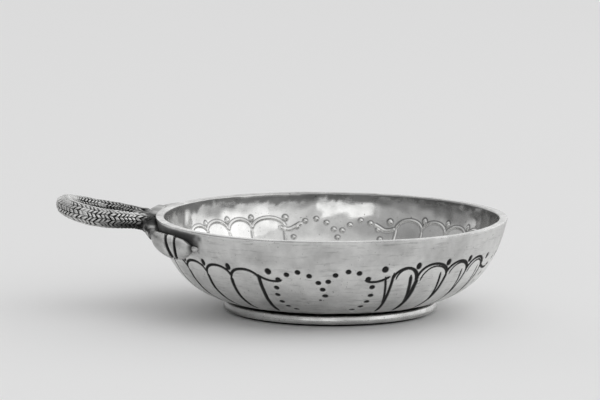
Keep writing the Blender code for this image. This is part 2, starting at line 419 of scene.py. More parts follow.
def bezier(points, share):
    first, second, third, last = [np.asarray(p, float) for p in points]
    share = np.asarray(share, float)[..., None]
    rest = 1 - share
    return first * rest**3 + 3 * second * rest**2 * share + 3 * third * rest * share**2 + last * share**3


def spline(points, per_span):
    """A smooth line through the points, with this many steps from each one to the next."""
    points = np.asarray(points, float)
    ends = np.vstack([2 * points[0] - points[1], points, 2 * points[-1] - points[-2]])
    steps = np.linspace(0, 1, per_span, endpoint=False)[:, None]
    made = []
    for before, start, stop, after in zip(ends, ends[1:], ends[2:], ends[3:]):
        made.append(
            0.5 * (2 * start + (stop - before) * steps
                   + (2 * before - 5 * start + 4 * stop - after) * steps**2
                   + (3 * start - before - 3 * stop + after) * steps**3)
        )
    return np.vstack(made + [points[-1:]])


def lengths(points):
    """How far along the line each of its points is."""
    return np.concatenate([[0], np.cumsum(np.linalg.norm(np.diff(points, axis=0), axis=1))])


def evenly(points, count):
    """The line with this many points, at equal distances."""
    along = lengths(points[:, :3])
    wanted = np.linspace(0, along[-1], count)
    return np.stack([np.interp(wanted, along, column) for column in points.T], -1)


def smooth(low, high, value):
    """0 to 1 between the two ends, which may be given in either order."""
    share = np.clip((value - low) / (high - low), 0, 1)
    return share * share * (3 - 2 * share)


def at_least(least, share):
    """A share of 0 to 1, squeezed so that it starts at the least value."""
    return least + (1 - least) * share


def ripples(seed, count, longest, shortest, points):
    """Smooth noise from a fixed set of plane waves, about -1 to 1."""
    chance = np.random.default_rng(seed)
    total = np.zeros(len(points))
    for _ in range(count):
        direction = chance.normal(size=3)
        direction /= np.linalg.norm(direction)
        wave = math.exp(chance.uniform(math.log(shortest), math.log(longest)))
        total += np.sin(points @ direction * (2 * math.pi / wave) + chance.uniform(0, 2 * math.pi))
    return total / math.sqrt(count)


def ripples_on(pattern, rings):
    """The same noise on a tube's rings of points."""
    return ripples(*pattern, rings.reshape(-1, 3)).reshape(rings.shape[:2])


def waves(rows, turn):
    """The sum of slow waves round the bowl."""
    return sum(size * np.sin(number * turn + phase) for size, number, phase in rows)


def turned(angle):
    """An angle in degrees, brought into -180 to 180."""
    return (angle + 180) % 360 - 180


def about_axis(turn, radii, heights):
    return np.stack([radii * np.sin(turn), -radii * np.cos(turn), heights], -1)


def row_frame(points):
    """Millimetres about the bowl's axis, as metres in the row frame."""
    return (points + np.array([AXIS_X, 0, 0])) * MM


# The wall's outside curve, by its length from the rim.
WALL_TOP = np.array([RIM_RADIUS, RIM_HEIGHT])
TOP_LEAN, FOOT_LEAN = [np.array([math.sin(lean), math.cos(lean)]) for lean in WALL_LEANS]
WALL_CURVE = bezier(
    (WALL_TOP, WALL_TOP - WALL_HANDLES[0] * TOP_LEAN, WALL_FOOT + WALL_HANDLES[1] * FOOT_LEAN, WALL_FOOT),
    np.linspace(0, 1, WALL_STEPS),
)
WALL_ALONG = lengths(WALL_CURVE)
WALL_LENGTH = WALL_ALONG[-1]
WALL_TANGENT = np.gradient(WALL_CURVE, axis=0)
WALL_TANGENT /= np.linalg.norm(WALL_TANGENT, axis=1)[:, None]
WALL_OUT = np.stack([-WALL_TANGENT[:, 1], WALL_TANGENT[:, 0]], -1)


def wall_at_drop(drop):
    """A point of the wall's outside this far below the rim, and the direction out of it."""
    order = RIM_HEIGHT - WALL_CURVE[:, 1]
    spot = np.array([np.interp(drop, order, WALL_CURVE[:, i]) for i in (0, 1)])
    out = np.array([np.interp(drop, order, WALL_OUT[:, i]) for i in (0, 1)])
    return spot, out / np.linalg.norm(out)


def boss_height(radius):
    inside = np.clip(radius / BOSS_RADIUS, 0, 1)
    return BOSS_RISE * (1 + np.cos(math.pi * inside)) / 2


def under_profile():
    """The bowl's underside, from its middle to the wall's foot, and the direction out of it."""
    base_radii = np.linspace(0, BASE[0], BASE_STEPS)
    base = np.stack([base_radii, BASE[1] + boss_height(base_radii)], -1)
    joint = spline([base[-6], base[-1], BASE_JOINT, WALL_FOOT, WALL_CURVE[-12]], JOINT_STEPS)
    under = np.vstack([base[:-1], joint[JOINT_STEPS:3 * JOINT_STEPS]])
    slope = np.gradient(under, axis=0)
    slope /= np.linalg.norm(slope, axis=1)[:, None]
    return under, np.stack([slope[:, 1], -slope[:, 0]], -1)


def rim_profile():
    """The rim's rounded outer edge, its flat top and its rounded inner edge."""
    inner_radius = RIM_RADIUS - RIM_WIDTH
    turn = np.linspace(0, math.pi / 2, RIM_EDGE_STEPS)[1:-1]
    outer_edge = np.stack([RIM_RADIUS - RIM_ROUND + RIM_ROUND * np.cos(turn),
                           RIM_HEIGHT - RIM_ROUND + RIM_ROUND * np.sin(turn)], -1)
    top_radii = np.linspace(RIM_RADIUS - RIM_ROUND, inner_radius + RIM_ROUND, RIM_TOP_STEPS)
    top = np.stack([top_radii, np.full(RIM_TOP_STEPS, RIM_HEIGHT)], -1)
    inner_edge = np.stack([inner_radius + RIM_ROUND - RIM_ROUND * np.sin(turn),
                           RIM_HEIGHT - RIM_ROUND + RIM_ROUND * np.cos(turn)], -1)
    return np.vstack([outer_edge, top, inner_edge])


def shell_profile():
    """The bowl's whole section, from the middle of its underside, over the rim, to the middle of its
    floor. Each row holds radius and height, the outward direction, the wall's length from the rim, and how
    much of the ornament it takes: 1 outside, -1 inside."""
    under, under_out = under_profile()
    far = np.full(len(under), WALL_LENGTH + PAST_WALL)
    bare = np.zeros(len(under))
    outer = WALL_ALONG > RIM_ROUND
    taper = np.clip(1 - (RIM_HEIGHT - WALL_CURVE[:, 1]) / RIM_TAPER, 0, 1) ** RIM_TAPER_POWER
    depth = WALL_THICKNESS + (RIM_WIDTH - WALL_THICKNESS) * taper
    inner_curve = WALL_CURVE - WALL_OUT * depth[:, None]
    inner = RIM_HEIGHT - inner_curve[:, 1] > RIM_ROUND
    rim = rim_profile()
    rim_out = np.zeros_like(rim)
    rim_out[:, 1] = 1
    floor = under[::-1] - under_out[::-1] * WALL_THICKNESS
    floor[-1, 0] = 0
    sections = [
        (under, under_out, far, bare),
        (WALL_CURVE[outer][::-1], WALL_OUT[outer][::-1], WALL_ALONG[outer][::-1], np.ones(outer.sum())),
        (rim, rim_out, np.zeros(len(rim)), np.zeros(len(rim))),
        (inner_curve[inner], WALL_OUT[inner], WALL_ALONG[inner], np.full(inner.sum(), -1.0)),
        (floor, under_out[::-1], far, bare),
    ]
    return [np.concatenate([section[i] for section in sections]) for i in range(4)]


def arch(start, stop, feet):
    """One tongue's rounded top, from left to right, as (degrees, length from rim)."""
    turn = np.linspace(math.pi, 0, ARCH_STEPS)
    across = (1 + np.cos(turn)) / 2
    foot = ARCH_FOOT + feet[0] + (feet[1] - feet[0]) * across
    return np.stack([start + (stop - start) * across, foot - (foot - ARCH_TOP) * np.sin(turn)], -1)


def lift(points):
    """The points, brought nearer to the rim towards the back."""
    points = np.array(points, float)
    points[:, 1] -= BACK_LIFT * (1 - np.cos(np.radians(points[:, 0]))) / 2
    return points


def ornament():
    """Every chased line as (points, half width, depth) and every punched dot as (degrees, length from
    rim, radius, stretch, depth)."""
    chance = np.random.default_rng(ORNAMENT_SEED)
    lines, dots = [], []

    def wobble(points, amount):
        points = np.array(points, float)
        points[:, 0] += chance.normal(0, amount / MM_PER_DEGREE)
        points[:, 1] += chance.normal(0, amount)
        return points

    def stroke(points, width=1.0, depth=1.0):
        lines.append((lift(points), LINE_HALF_WIDTH * width, LINE_DEPTH * depth))

    def dot(angle, along, size=1.0, stretch=1.0):
        angle = angle + chance.normal(0, DOT_ASTRAY[0])
        along = along + chance.normal(0, DOT_ASTRAY[1])
        spot = lift([(angle, along)])[0]
        dots.append((spot[0], spot[1], DOT_RADIUS * size, stretch, DOT_DEPTH * size))

    def heart(middle, drop, swag, width, beads):
        outline = spline([(angle * MM_PER_DEGREE, along) for angle, along in HEART_SIDE], HEART_STEPS)
        measured = lengths(outline)
        for side, bead in zip((-1, 1), beads):
            slip = HEART_SLIP if side < 0 else 0.0
            first = DOT_SPACING if side < 0 else 0.0
            for distance in np.arange(first, measured[-1], DOT_SPACING):
                angle = np.interp(distance, measured, outline[:, 0]) / MM_PER_DEGREE
                along = np.interp(distance, measured, outline[:, 1])
                dot(middle + side * angle, along + drop + slip)
            swag_line = [(middle + side * angle, along + drop) for angle, along in swag]
            stroke(spline(swag_line, LINE_STEPS), width, SWAG_DEPTH)
            dot(middle + bead[0], bead[1] + drop, HEART_BEAD_SIZE, HEART_BEAD_STRETCH)
        for angle, along, size in NOTCH_DOTS:
            dot(middle + angle, along + drop, size)

    def boundary(angle, width, foot, drop, forked, outermost):
        sway = chance.normal(0, TONGUE_SWAY)
        at_front = math.cos(math.radians(angle)) > 0
        top = ARCH_FOOT + foot + drop - (OUTERMOST_RISE if outermost and at_front else 0.0)
        line = [(angle, top), (angle + sway, TONGUE_BENDS[0] + drop),
                (angle + TONGUE_LOW_SWAY * sway, TONGUE_BENDS[1]), (angle + sway, TONGUE_END)]
        stroke(spline(line, LINE_STEPS), width)
        if forked:
            fork = [(angle + aside + sways * sway, along) for aside, along, sways in FORK]
            stroke(spline(fork, LINE_STEPS), FORK_WEIGHT * width, FORK_WEIGHT)
        if not outermost:
            aside, along, size, stretch = TONGUE_BEAD
            dot(angle + aside, along + drop, size, stretch)

    def tongue_top(start, stop, feet, drop, forked):
        stroke(wobble(arch(start, stop, feet) + (0.0, drop), ARCH_ASTRAY), ARCH_WIDTH)
        if forked:
            inner = arch(start + INNER_ARCH[0], stop + INNER_ARCH[1], feet) + (0.0, drop + INNER_ARCH[2])
            stroke(wobble(inner, INNER_ARCH_ASTRAY), INNER_ARCH_WIDTH, INNER_ARCH_DEPTH)

    for row in HEARTS:
        heart(*row)
    for bounds, forked, drop in TONGUE_GROUPS:
        for number, (angle, width, foot) in enumerate(bounds):
            boundary(angle, width, foot, drop, forked, number in (0, len(bounds) - 1))
        for (start, _, first), (stop, _, second) in zip(bounds, bounds[1:]):
            tongue_top(start, stop, (first, second), drop, forked)
    return lines, dots


LINES, DOTS = ornament()


def line_marks(line, angles, along, radii, widen):
    """What one chased line does to the places near it: which they are, and how deep, how dark, how far
    from the line and how much painted shade lies beside each of them."""
    points, half_width, deep = line
    middle = points[:, 0].mean()
    off = turned(angles - middle)
    chosen = np.nonzero(
        (np.abs(off) < np.ptp(points[:, 0]) + LINE_NEAR)
        & (along > points[:, 1].min() - NEAR_LENGTH)
        & (along < points[:, 1].max() + NEAR_LENGTH)
    )[0]
    scale = np.radians(radii[chosen])
    nearest = np.full(len(chosen), FAR)
    share = np.zeros(len(chosen))
    above = np.zeros(len(chosen))
    for number, (start, stop) in enumerate(zip(points, points[1:])):
        from_x = (start[0] - middle - off[chosen]) * scale
        from_y = start[1] - along[chosen]
        step_x = (stop[0] - start[0]) * scale
        step_y = stop[1] - start[1]
        size = step_x**2 + step_y**2 + TINY_SQUARE
        place = np.clip(-(from_x * step_x + from_y * step_y) / size, 0, 1)
        distance = np.hypot(from_x + step_x * place, from_y + step_y * place)
        closer = distance < nearest
        nearest = np.where(closer, distance, nearest)
        share = np.where(closer, (number + place) / (len(points) - 1), share)
        above = np.where(closer, (from_y + step_y * place) / np.maximum(distance, TINY), above)
    fade = smooth(0, LINE_END, share) * smooth(0, LINE_END, 1 - share)
    width = half_width * at_least(LINE_END_WIDTH, fade) * widen[chosen]
    cut = np.clip(1 - nearest / width, 0, 1)
    depth = deep * at_least(LINE_END_DEPTH, fade) * smooth(0, 1, cut)
    # Painted shade beside the line, heavier above it.
    mark_shade = np.exp(-(((nearest / width - MARK_SHADE_PLACE) / LINE_SHADE_SPREAD) ** 2))
    mark_shade *= at_least(LINE_SHADE_BELOW, smooth(*MARK_SHADE_ABOVE, above))
    return chosen, depth, smooth(*LINE_DARK, cut), nearest, mark_shade


def dot_marks(dot, angles, along, radii, widen):
    """What one punched dot does to the places near it, told in the same way."""
    angle, place, radius, stretch, deep = dot
    off = turned(angles - angle)
    chosen = np.nonzero((np.abs(off) < DOT_NEAR) & (np.abs(along - place) < NEAR_LENGTH))[0]
    distance = np.hypot(np.radians(off[chosen]) * radii[chosen], (along[chosen] - place) / stretch)
    wide = radius * np.where(widen[chosen] == 1, 1.0, INSIDE_DOT)
    cut = np.clip(1 - (distance / wide) ** 2, 0, 1)
    above = (place - along[chosen]) / np.maximum(distance, TINY)
    # Painted shade round the dot, heavier above it.
    mark_shade = np.exp(-(((distance / wide - MARK_SHADE_PLACE) / DOT_SHADE_SPREAD) ** 2))
    mark_shade *= at_least(DOT_SHADE_BELOW, smooth(*MARK_SHADE_ABOVE, above))
    nearest = np.maximum(distance - DOT_CORE * radius, 0)
    return chosen, deep * cut**DOT_ROUNDING, smooth(*DOT_DARK, cut), nearest, mark_shade


def relief(angles, along, radii, widen):
    """How deep the ornament is at each place, how dark, how far the nearest of it is, and how much painted
    shade lies beside it."""
    depth = np.zeros(len(angles))
    dark = np.zeros(len(angles))
    nearest = np.full(len(angles), FAR)
    mark_shade = np.zeros(len(angles))
    marks = [(line_marks, line) for line in LINES] + [(dot_marks, dot) for dot in DOTS]
    for marking, mark in marks:
        chosen, deep, shade, distance, edge = marking(mark, angles, along, radii, widen)
        depth[chosen] = np.maximum(depth[chosen], deep)
        dark[chosen] = np.maximum(dark[chosen], shade)
        nearest[chosen] = np.minimum(nearest[chosen], distance)
        mark_shade[chosen] = np.maximum(mark_shade[chosen], edge)
    return depth, dark, nearest, mark_shade


def add_piece(name, mesh, material, node):
    """The mesh as a piece that rides the body and takes the place of one CAD node."""
    made = bpy.data.objects.new(name, mesh)
    mesh.materials.append(material)
    mesh.shade_smooth()
    bpy.context.scene.collection.objects.link(made)
    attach(made, "root")
    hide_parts(node)


def set_attribute(mesh, name, values):
    made = mesh.attributes.new(name, "FLOAT", "POINT")
    made.data.foreach_set("value", np.asarray(values, np.float32))


def bowl_grid(profile, place):
    """The bowl's surface laid out flat: degrees from the front, with the seam at the handle, by length
    along the section. It is finer near the ornament."""
    points, _, along, gain = profile
    rows = [0.0]
    while rows[-1] < place[-1]:
        on_wall = np.interp(rows[-1], place, np.abs(gain)) > 0.5
        near_rim = np.interp(rows[-1], place, points[:, 1]) > RIM_HEIGHT - RIM_ROUND - RIM_MARGIN
        rows.append(rows[-1] + (RIM_ROW_STEP if near_rim else ROW_STEP if on_wall else PLAIN_ROW_STEP))
    rows[-1] = place[-1]
    columns = np.linspace(HANDLE_ANGLE, HANDLE_ANGLE + 360, COLUMNS + 1)
    grid = bmesh.new()
    made = [[grid.verts.new((angle, row, 0)) for angle in columns] for row in rows]
    for lower, upper in zip(made, made[1:]):
        for i in range(COLUMNS):
            grid.faces.new((lower[i], lower[i + 1], upper[i + 1], upper[i]))
    for limit in HALVING_REACHES:
        angles, lengthwise = np.array([v.co[:2] for v in grid.verts]).T
        on_wall = np.interp(lengthwise, place, along)
        radii = np.interp(lengthwise, place, points[:, 0])
        _, _, nearest, _ = relief(angles, on_wall, radii, np.ones(len(angles)))
        grid.verts.index_update()
        near = nearest < limit
        halved = set()
        for face in grid.faces:
            if any(near[v.index] for v in face.verts):
                halved.update(face.edges)
        in_order = [edge for edge in grid.edges if edge in halved]
        bmesh.ops.subdivide_edges(grid, edges=in_order, cuts=1, use_grid_fill=True)
    mesh = bpy.data.meshes.new("bowl_chased")
    grid.to_mesh(mesh)
    grid.free()
    return mesh


def oxide_and_shade_outside(angles, on_wall, side, dark, patches):
    """Oxide and painted shade on the bowl's outside, with the dark of its chased marks."""
    facing = smooth(*FACING, np.abs(np.cos(np.radians(angles))))
    # Painted shade in the seam over the foot, stronger where the wall faces front and back.
    seam = smooth(WALL_LENGTH - SEAM_RISE[0], WALL_LENGTH - SEAM_RISE[1], on_wall)
    seam *= np.clip(at_least(SEAM_LEAST, facing) + SEAM_PATCHES * patches, 0, 1)
    dull = np.clip(DULL + DULL_PATCHES * patches, 0, 1) * smooth(*DULL_END, on_wall)
    # Painted shade under the rim beside the handle.
    handle_shade = smooth(*HANDLE_SHADE_START, on_wall) * smooth(*HANDLE_SHADE_END, on_wall + HANDLE_SHADE_END_PATCHES * patches)
    from_handle = np.abs(turned(angles - HANDLE_ANGLE))
    handle_shade *= smooth(*HANDLE_SHADE_ANGLES, from_handle + HANDLE_SHADE_ANGLE_PATCHES * patches)
    return np.maximum(np.maximum(dark, seam), np.maximum(dull, HANDLE_SHADE * handle_shade) * side)


def painted_shade_inside(angles, on_wall, dark, mark_shade, patches):
    """Painted shade inside the bowl: beside its raised marks and in a band under the rim."""
    from_handle = np.abs(turned(angles - HANDLE_ANGLE))
    # A painted dark band of shade under the rim, wider by the handle and in places at the back.
    end = BAND_WIDTH + BAND_PATCHES * patches + BAND_AT_HANDLE * smooth(*BAND_HANDLE_ANGLES, from_handle)
    for middle, more in BAND_WIDER:
        end = end + more * smooth(*BAND_WIDER_ANGLES, np.abs(angles - middle))
    band_lowered = BAND_LOWER[1] * smooth(*BAND_LOWER_ANGLES, np.abs(angles - BAND_LOWER[0]))
    band = smooth(*BAND_START, on_wall - BAND_START_PATCHES * patches - band_lowered)
    band *= smooth(end + BAND_END[0], end + BAND_END[1], on_wall)
    # Painted shade beside the raised marks.
    beside_marks = MARK_SHADE * mark_shade * (1 - smooth(*MARK_SHADE_CLEAR, dark))
    return np.maximum(beside_marks, BAND * band)


def make_bowl(material):
    """The bowl with its ornament, sunk outside and raised inside, and the unevenness of hammering."""
    profile = shell_profile()
    points, out, along, gain = profile
    place = lengths(points)
    mesh = bowl_grid(profile, place)
    flat = np.zeros(len(mesh.vertices) * 3)
    mesh.vertices.foreach_get("co", flat)
    angles, rows, _ = flat.reshape(-1, 3).T
    radii, heights = [np.interp(rows, place, points[:, i]) for i in (0, 1)]
    out_radius, out_height = [np.interp(rows, place, out[:, i]) for i in (0, 1)]
    on_wall = np.interp(rows, place, along)
    side = np.interp(rows, place, gain)
    depth, dark, _, mark_shade = relief(angles, on_wall, radii, np.where(side < 0, INSIDE_WIDTH, 1.0))
    depth *= np.abs(side)
    dark *= np.abs(side)
    turn = np.radians(angles)
    dents = BOWL_DENT_SIZE * ripples(*BOWL_DENTS, about_axis(turn, radii, heights))
    dents *= np.clip(radii / DENT_FADE_RADIUS, 0, 1) * smooth(*DENT_FADE_DROP, RIM_HEIGHT - heights)
    moved = np.where(side >= 0, -depth, -INSIDE_HEIGHT * depth) + dents
    lifted = waves(WAVES_UP, turn) + BACK_RISE * smooth(*BACK_RISE_SPREAD, np.cos(turn - BACK_RISE_TURN))
    lifted -= FRONT_DIP * smooth(*FRONT_DIP_SPREAD, np.cos(turn))
    up = smooth(WAVE_FOOT, RIM_HEIGHT, heights)
    radii = radii + out_radius * moved + waves(WAVES_OUT, turn) * up
    heights = heights + out_height * moved + lifted * up
    seat = about_axis(turn, radii, heights)
    mesh.vertices.foreach_set("co", row_frame(seat).astype(np.float32).ravel())
    patches = ripples(*BOWL_PATCHES, seat)
    rim_top = smooth(*RIM_TOP, RIM_HEIGHT + lifted - heights)
    worn = np.clip(RIM_WORN + RIM_WORN_PATCHES * patches, 0, 1) * rim_top
    outside = oxide_and_shade_outside(angles, on_wall, side, dark, patches)
    inside = -side * painted_shade_inside(angles, on_wall, dark, mark_shade, patches) + worn
    # The groove attribute: oxide and a dull band outside, with painted shade in the seam and by the handle;
    # painted shade inside; the rim's worn top.
    set_attribute(mesh, "groove", np.where(side > 0, outside, inside))
    set_attribute(mesh, "inside", np.maximum(np.clip(-side, 0, 1), RIM_BURNISHED * rim_top))
    welded = bmesh.new()
    welded.from_mesh(mesh)
    bmesh.ops.remove_doubles(welded, verts=welded.verts, dist=WELD_DISTANCE)
    bmesh.ops.recalc_face_normals(welded, faces=welded.faces)
    welded.to_mesh(mesh)
    welded.free()
    mesh.update()
    add_piece("bowl_chased", mesh, material, "bowl")


def tube_mesh(name, rings, close_ends):
    """A mesh from rings of points, all of one length, in metres. Its ends are closed, or meet."""
    count, sides = rings.shape[:2]
    mesh = bpy.data.meshes.new(name)
    index = np.arange(count * sides).reshape(count, sides)
    beside = np.roll(index, -1, 1)
    faces = np.stack([index[:-1], beside[:-1], beside[1:], index[1:]], -1).reshape(-1, 4).tolist()
    if close_ends:
        faces += [index[0].tolist(), index[-1].tolist()]
    else:
        faces += np.stack([index[-1], beside[-1], beside[0], index[0]], -1).tolist()
    mesh.from_pydata(rings.reshape(-1, 3).tolist(), [], faces)
    turned_out = bmesh.new()
    turned_out.from_mesh(mesh)
    bmesh.ops.recalc_face_normals(turned_out, faces=turned_out.faces)
    turned_out.to_mesh(mesh)
    turned_out.free()
    return mesh


def make_foot(material):
    """The moulded wire under the bowl, run up to it in a small fillet of solder."""
    section = spline(FOOT_SECTION, FOOT_SECTION_STEPS)
    heights = section[:, 1]
    turn = np.linspace(0, 2 * math.pi, FOOT_STEPS, endpoint=False)[:, None]
    radii = section[None, :, 0] + waves(FOOT_WAVES_OUT, turn)
    rings = about_axis(turn, radii, np.repeat(heights[None], FOOT_STEPS, 0))
    mesh = tube_mesh("foot_wire", row_frame(rings), False)
    to_front = np.abs(np.cos(turn))
    # Painted shade: in the seam on top, under the edge and on the left side, stronger where it faces front
    # and back.
    seam = at_least(FOOT_SEAM_LEAST, smooth(*FACING, to_front)) * smooth(*FOOT_SEAM_HEIGHTS, heights)
    edge = smooth(*FOOT_EDGE_FACING, to_front) * smooth(*FOOT_EDGE_HEIGHTS, heights)
    left = FOOT_LEFT * smooth(*FOOT_LEFT_FACING, np.sin(turn))
    set_attribute(mesh, "groove", np.maximum(np.maximum(seam, edge), left).ravel())
    add_piece("foot_wire", mesh, material, "foot_ring")


def rod_line():
    """The rod's middle with its radius, run on a little at both ends into the buds."""
    knots = np.array([(-reach, y, RIM_HEIGHT + over, radius) for reach, y, over, radius in ROD_POINTS])
    for inside, end, place in ((knots[-2], knots[-1], len(knots)), (knots[1], knots[0], 0)):
        step = end - inside
        knots = np.insert(knots, place, end + step * (ROD_RUN_IN / np.linalg.norm(step[:3])), 0)
    return evenly(spline(knots, ROD_KNOT_STEPS), ROD_STATIONS)


def outward_from(line, turn):
    """At each station of the line, the directions out of it all round, from its side upward."""
    tangent = np.gradient(line[:, :3], axis=0)
    tangent /= np.linalg.norm(tangent, axis=1)[:, None]
    side = np.cross(tangent, (0, 0, 1))
    side /= np.linalg.norm(side, axis=1)[:, None]
    up = np.cross(side, tangent)
    return np.cos(turn)[None, :, None] * side[:, None] + np.sin(turn)[None, :, None] * up[:, None]


def soldered(rings, line):
    """The rod's bends by the bowl, drawn in towards the wall by the solder that fills the corner."""
    apart = np.hypot(rings[..., 0], rings[..., 1])
    wall = np.interp(rings[..., 2], WALL_CURVE[::-1, 1], WALL_CURVE[::-1, 0]) - SOLDER_SINK
    inward = (np.hypot(line[:, 0], line[:, 1])[:, None] - apart) / line[:, 3][:, None]
    amount = smooth(*SOLDER_FACING, inward) * smooth(*SOLDER_REACH, -line[:, 0])[:, None]
    nearer = 1 + (np.minimum(apart, wall) / apart - 1) * amount
    drawn = rings.copy()
    drawn[..., :2] *= nearer[..., None]
    return drawn


def rod_scales(line, seat, along, turn):
    """The height of the scales, 0 to 1: rows along the rod, each cut across at a slant, every second row
    the other way."""
    wander = SCALE_ROW_WANDER * ripples(*ROW_WANDER, line[:, :3])
    rows = turn[None] / (2 * math.pi) * SCALE_ROWS + wander[:, None]
    number = np.floor(rows).astype(int)
    across = rows - number
    lean = np.where(number % 2 == 0, 1.0, -1.0)
    astray = SCALE_ASTRAY * ripples_on(SCALE_WANDER, seat)
    phase = along[:, None] / SCALE_PITCH + lean * SCALE_SLANT * across + astray
    edge = smooth(*SCALE_EDGE, np.minimum(across, 1 - across))
    return smooth(*SCALE_CUT, np.abs(np.sin(math.pi * phase))) * at_least(SCALE_EDGE_HEIGHT, edge)


def rod_shade(reach, far, inward, turn, ridge, kept):
    """Oxide between the rod's scales, a little darker at the loop's end, and painted shade on the loop's
    inner sides.
    """
    far_side = smooth(*FAR_SIDE, far)
    cuts = (1 - smooth(*CUT_DARK, ridge - CUT_DARK_FAR * far_side)) * np.clip(CUT_DARK_GAIN * kept, 0, 1)
    loop_end = LOOP_END * smooth(*LOOP_END_REACH, reach)
    inner = (INNER_SIDE - INNER_SIDE_FAR * far_side) * smooth(*INNER_SIDE_FACING, inward)
    inner = inner * smooth(*INNER_SIDE_REACH, reach)
    hidden = smooth(*HIDDEN_FACING, inward) * smooth(*HIDDEN_SIDE, np.sin(turn))[None]
    hidden = HIDDEN * hidden * smooth(*HIDDEN_FAR, far) * smooth(*HIDDEN_REACH, reach)
    return np.maximum(np.maximum(cuts, loop_end), np.maximum(inner, hidden))


def rod_root_shade(reach, far, turn, from_end, patches):
    """Painted shade on the rod near the bowl: on its underside and round its root."""
    upper = smooth(*UPPER_SIDE, np.sin(turn))[None]
    lower = smooth(*UNDERSIDE_SIDE, np.sin(turn))[None]
    underside = UNDERSIDE * smooth(*UNDERSIDE_REACH, reach + UNDERSIDE_PATCHES * patches) * lower
    start, full = [limit - less * upper for limit, less in zip(ROOT_REACH, ROOT_SHORTER_ABOVE)]
    root = ROOT * smooth(start, full, reach) * np.clip(ROOT_PATCHES[0] + ROOT_PATCHES[1] * patches, 0, 1)
    root = root * (1 - ROOT_LESS_ABOVE * smooth(*FAR_SIDE, far) * upper)
    return np.maximum(underside, root) * at_least(END_LEAST, smooth(*END_LENGTH, from_end))


def make_rod(material):
    """The rod with its scales, its solder, its oxide and its painted shade."""
    line = rod_line()
    turn = np.linspace(0, 2 * math.pi, ROD_SIDES, endpoint=False)
    outward = outward_from(line, turn)
    seat = line[:, None, :3] + line[:, 3][:, None, None] * outward
    along = lengths(line[:, :3])
    from_end = np.minimum(along, along[-1] - along)[:, None]
    reach = -line[:, 0][:, None]
    far = line[:, 1][:, None]
    inward = -(seat[..., 1] - far) * np.sign(far) / line[:, 3][:, None]
    patches = ripples_on(ROD_PATCHES, seat)
    ridge = rod_scales(line, seat, along, turn)
    worn = SCALE_WORN * smooth(*SCALE_WORN_REACH, reach) * smooth(*UPPER_SIDE, np.sin(turn))[None]
    kept = smooth(*SCALE_FADE, from_end) * (1 - worn)
    kept = kept * np.clip(SCALE_PATCHES[0] + SCALE_PATCHES[1] * patches, *SCALE_KEPT)
    girth = SCALE_DEPTH * (ridge - SCALE_LEVEL) * kept + ROD_DENT_SIZE * patches
    rings = soldered(seat + girth[..., None] * outward, line)
    mesh = tube_mesh("rod_scaled", row_frame(rings), True)
    # Oxide between the scales, and painted shade on the loop's inner sides and near the bowl.
    shade = rod_shade(reach, far, inward, turn, ridge, kept)
    handle_shade = rod_root_shade(reach, far, turn, from_end, patches)
    set_attribute(mesh, "groove", np.maximum(shade, handle_shade).ravel())
    add_piece("rod_scaled", mesh, material, "serpent_loop")


def bud_cuts(degrees, turn):
    """How deep in a groove each place of a bud is, 0 to 1, with none where it lies on the wall."""
    cut = np.zeros((len(degrees), len(turn)))
    for groove, half_length, lean, bow in BUD_GROOVES:
        bowed = groove - lean * np.sin(turn) + bow * (np.cos(turn) - BUD_BOW_MIDDLE)
        apart = np.abs(degrees[:, None] - bowed[None]) / half_length
        cut = np.maximum(cut, np.exp(-(apart**BUD_GROOVE_SQUARENESS)))
    return cut * smooth(*BUD_FACING, np.cos(turn))[None]


def make_bud(name, node, hand, drops, material):
    """A cast bud along the wall, with a bead beyond its tip. Its hand is -1 in front and 1 behind."""
    shape = spline(BUD_SHAPE, BUD_SHAPE_STEPS)
    share = np.linspace(0, 1, BUD_STATIONS)
    last = 1 - BUD_CLOSER
    closer = BUD_CLOSER + last * np.sin((share - BUD_CLOSER) / last * math.pi / 2)
    share = np.where(share > BUD_CLOSER, closer, share)
    degrees = BUD_SHAPE[0][0] + (BUD_SHAPE[-1][0] - BUD_SHAPE[0][0]) * share
    half_height = np.interp(degrees, shape[:, 0], shape[:, 1])
    half_depth = np.interp(degrees, shape[:, 0], shape[:, 2])
    turn = np.linspace(0, 2 * math.pi, BUD_SIDES, endpoint=False)
    cut = bud_cuts(degrees, turn)
    rings = []
    for i in range(BUD_STATIONS):
        spot, out = wall_at_drop(drops[0] + (drops[1] - drops[0]) * share[i])
        size = 1 - BUD_GROOVE_DEPTH * cut[i]
        centre = spot + out * (half_depth[i] - BUD_SINK)
        across = np.outer(np.cos(turn) * size, out) * half_depth[i]
        upward = np.outer(np.sin(turn) * size, (-out[1], out[0])) * half_height[i]
        radius, height = (centre + across + upward).T
        angle = math.radians(degrees[i])
        rings.append(np.stack([-radius * math.cos(angle), hand * radius * math.sin(angle), height], -1))
    rings = np.array(rings)
    middle = rings.mean(1, keepdims=True)
    dents = BUD_DENT_SIZE * ripples_on(BUD_DENTS, rings)
    rings = middle + (rings - middle) * (1 + dents[..., None])
    mesh = tube_mesh(name, row_frame(rings), True)
    # Painted shade in the pinch before the bead and at the neck, with tarnish towards the rod and oxide in
    # the grooves.
    pinch = BUD_PINCH_DARK * np.exp(-(((degrees - BUD_PINCH[0]) / BUD_PINCH[1]) ** 2))
    tarnish_and_shade = sum(amount * smooth(*ends, degrees) for amount, ends in BUD_TARNISH_AND_SHADE)
    oxide_and_shade = np.maximum(smooth(*BUD_GROOVE_DARK, cut), np.maximum(pinch, tarnish_and_shade)[:, None])
    set_attribute(mesh, "groove", oxide_and_shade.ravel())
    add_piece(name, mesh, material, node)


def put(tree, value, socket):
    """Sets the socket to a plain value, or links it to another node's output."""
    if isinstance(value, (float, tuple)):
        socket.default_value = value
    else:
        tree.links.new(value, socket)


def set_inputs(node, values):
    for name, value in values.items():
        node.inputs[name].default_value = value


